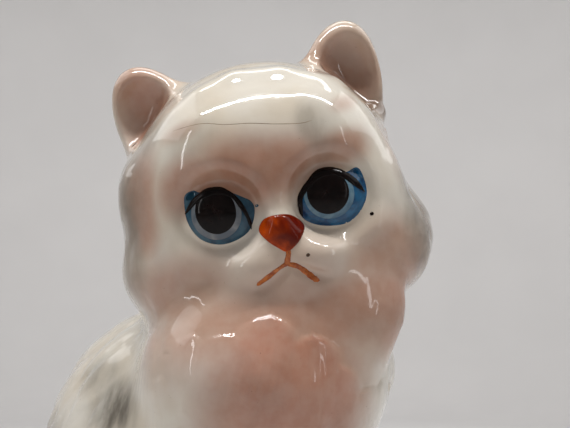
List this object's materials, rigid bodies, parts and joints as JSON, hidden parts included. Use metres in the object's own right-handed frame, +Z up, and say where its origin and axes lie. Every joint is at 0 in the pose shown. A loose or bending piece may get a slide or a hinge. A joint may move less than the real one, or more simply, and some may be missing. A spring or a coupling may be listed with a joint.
{
  "type": "ceramic cat figurine",
  "caption": "Seated long-haired cat figurine, hollow glazed casting with airbrushed grey and tan shading, painted blue eyes and orange nose, that stands on a flat foot.",
  "frame": {"origin": "middle of the flat foot that the figurine rests on", "axes": "+Z up, the body faces -Y, the cat's own left is +X"},
  "size_m": [0.0957, 0.1181, 0.1654],
  "materials": {
    "glaze": "glossy clear glaze over white earthenware, airbrushed grey and tan",
    "bare_clay": "unglazed fired slip",
    "iris_enamel": "glossy painted enamel",
    "iris_light_enamel": "glossy painted enamel",
    "black_enamel": "glossy painted enamel",
    "nose_enamel": "glossy painted enamel",
    "mouth_enamel": "glossy painted enamel"
  },
  "bodies": {
    "root": {"torso_casting": "glaze", "head_casting": "glaze", "neck_slip_coil": "bare_clay", "nose": "nose_enamel", "mouth": "mouth_enamel", "tail": "glaze", "left_ear": "glaze", "left_foreleg": "glaze", "left_hind_paw": "glaze", "left_iris": "iris_enamel", "left_iris_light": "iris_light_enamel", "left_pupil": "black_enamel", "left_lash": "black_enamel", "right_ear": "glaze", "right_foreleg": "glaze", "right_hind_paw": "glaze", "right_iris": "iris_enamel", "right_iris_light": "iris_light_enamel", "right_pupil": "black_enamel", "right_lash": "black_enamel"}
  },
  "joints": []
}
